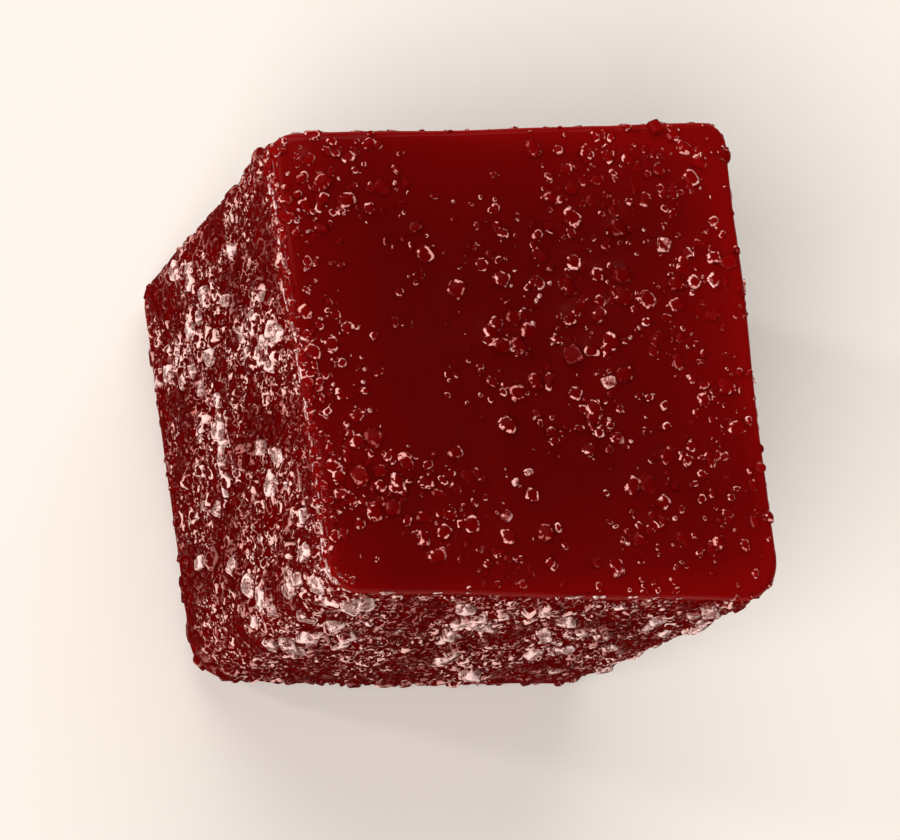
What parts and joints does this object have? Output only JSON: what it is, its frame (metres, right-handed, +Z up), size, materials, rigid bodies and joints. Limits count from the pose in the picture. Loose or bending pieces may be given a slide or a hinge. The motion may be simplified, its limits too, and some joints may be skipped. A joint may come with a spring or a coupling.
{
  "type": "gummy candy",
  "caption": "Slightly uneven cube-shaped gummy candy with rounded upright edges, a slightly hollow top face inside a crisp rim, and sugar crystals fused to its top and sides.",
  "frame": {"origin": "centre of the flat underside", "axes": "+Z up, out of the face that was open in the mould; +X towards the side that is deeper along Y; +Y towards the side that is wider along X"},
  "size_m": [0.0208, 0.0206, 0.0187],
  "materials": {
    "sugared_jelly": "wet-looking deep red jelly under clear to frosted sugar crystals"
  },
  "bodies": {
    "root": {"gummy_cube": "sugared_jelly"}
  },
  "joints": []
}
